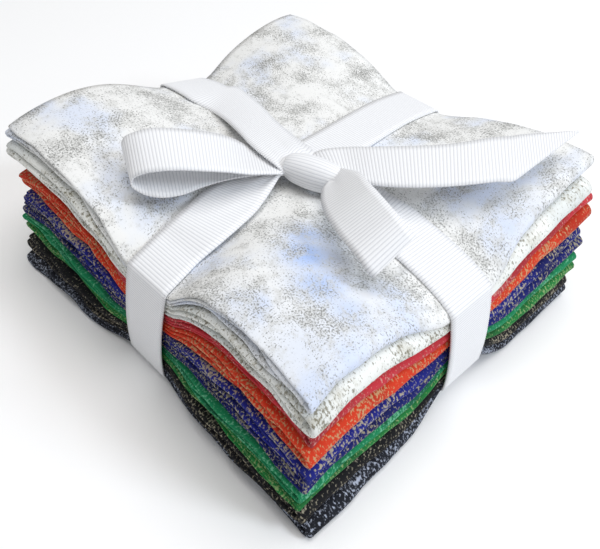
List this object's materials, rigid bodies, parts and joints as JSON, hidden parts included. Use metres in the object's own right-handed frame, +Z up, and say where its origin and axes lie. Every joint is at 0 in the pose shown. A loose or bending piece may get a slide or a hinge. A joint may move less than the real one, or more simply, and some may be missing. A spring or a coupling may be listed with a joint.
{
  "type": "fat quarter bundle",
  "caption": "Square-cornered stack of folded cotton fat quarters in plain mottled prints, tied crosswise with a grosgrain ribbon that ends in a half bow.",
  "frame": {"origin": "middle of the whole part's box, on the surface that it rests on", "axes": "+X along the long side of the stack, towards the side where the smooth folds show; +Y away from the bow's side; +Z up"},
  "size_m": [0.1614, 0.1414, 0.0765],
  "materials": {
    "cotton_grey": "matt woven cotton, pale grey and white mottled print",
    "cotton_cream": "matt woven cotton, cream white with fine tan metallic speckle",
    "cotton_dusty_red": "matt woven cotton, mottled dusty red",
    "cotton_orange_red": "matt woven cotton, red-orange with gold metallic speckle",
    "cotton_royal_blue": "matt woven cotton, royal blue with gold metallic speckle",
    "cotton_navy": "matt woven cotton, navy blue with gold metallic speckle",
    "cotton_teal": "matt woven cotton, mottled teal green",
    "cotton_green": "matt woven cotton, green with gold metallic speckle",
    "cotton_black": "matt woven cotton, black with gold metallic speckle",
    "cotton_charcoal": "matt woven cotton, charcoal with silver metallic flecks",
    "ribbon_grosgrain": "white grosgrain ribbon with fine crosswise ribs and a soft sheen"
  },
  "bodies": {
    "root": {"quarter_01": "cotton_grey", "quarter_02": "cotton_cream", "quarter_03": "cotton_dusty_red", "quarter_04": "cotton_orange_red", "quarter_05": "cotton_royal_blue", "quarter_06": "cotton_navy", "quarter_07": "cotton_teal", "quarter_08": "cotton_green", "quarter_09": "cotton_black", "quarter_10": "cotton_charcoal", "ribbon": "ribbon_grosgrain"}
  },
  "joints": []
}
